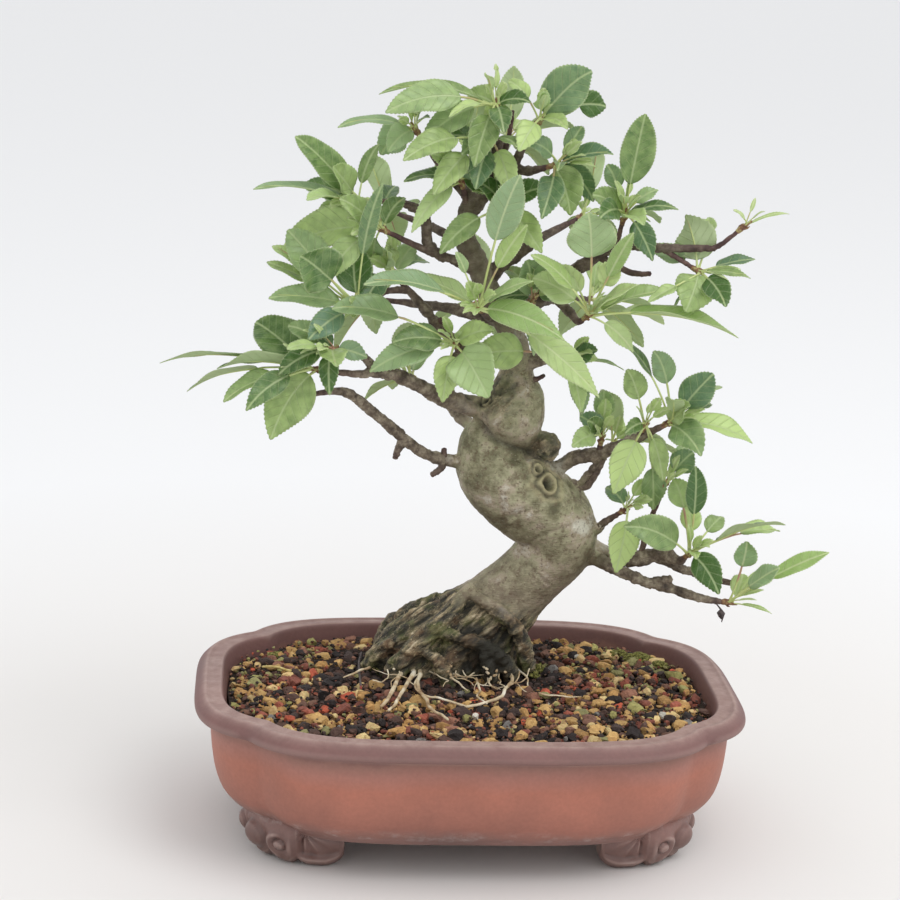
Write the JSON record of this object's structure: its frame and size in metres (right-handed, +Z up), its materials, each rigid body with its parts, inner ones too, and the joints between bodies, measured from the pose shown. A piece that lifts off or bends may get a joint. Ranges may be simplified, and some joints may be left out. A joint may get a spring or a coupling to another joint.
{
  "type": "potted bonsai tree",
  "caption": "Small crabapple bonsai with a bent trunk and leafy sprays, standing in an oblong lobed stoneware pot on low scrolled feet.",
  "frame": {"origin": "on the table, under the middle of the whole object's box", "axes": "+Z up, X along the pot's long side, -Y towards the show side that the picture faces"},
  "size_m": [0.2812, 0.174, 0.3199],
  "materials": {
    "stoneware": "unglazed reddish brown stoneware, worn smooth",
    "soil": "mixed dry grit of pumice, lava and fired clay with moss",
    "bark": "grey-olive bark with darker rugged roots",
    "leaf": "mid-green leaf, dull with a faint waxy sheen",
    "young_leaf": "yellow-green young leaf, soft sheen",
    "mesh": "matte black plastic"
  },
  "bodies": {
    "root": {"drain_mesh_left": "mesh", "drain_mesh_right": "mesh", "pot": "stoneware", "soil": "soil", "spray_apex_left": "leaf", "spray_apex_right": "leaf", "spray_back_crown": "leaf", "spray_back_left": "leaf", "spray_back_left_high": "leaf", "spray_back_low_left": "leaf", "spray_back_low_right": "leaf", "spray_back_mid": "leaf", "spray_back_right": "leaf", "spray_back_right_high": "leaf", "spray_back_top": "leaf", "spray_centre_front": "young_leaf", "spray_centre_right": "leaf", "spray_collar_right": "leaf", "spray_far_left_top": "leaf", "spray_fork_left": "leaf", "spray_fork_mid": "leaf", "spray_high_left": "leaf", "spray_high_right": "leaf", "spray_left_high": "leaf", "spray_left_inner": "leaf", "spray_left_mid": "leaf", "spray_left_purple": "leaf", "spray_left_rosette": "leaf", "spray_low_left": "leaf", "spray_low_left_under": "young_leaf", "spray_low_right": "leaf", "spray_low_right_inner": "leaf", "spray_low_right_tip": "young_leaf", "spray_low_right_twig": "leaf", "spray_mid_right": "leaf", "spray_mid_right_near": "leaf", "spray_mid_right_tip": "leaf", "spray_right_cluster": "leaf", "spray_right_front": "young_leaf", "spray_right_high": "leaf", "spray_right_tip": "young_leaf", "spray_spur_left": "leaf", "tree_wood": "bark"}
  },
  "joints": []
}
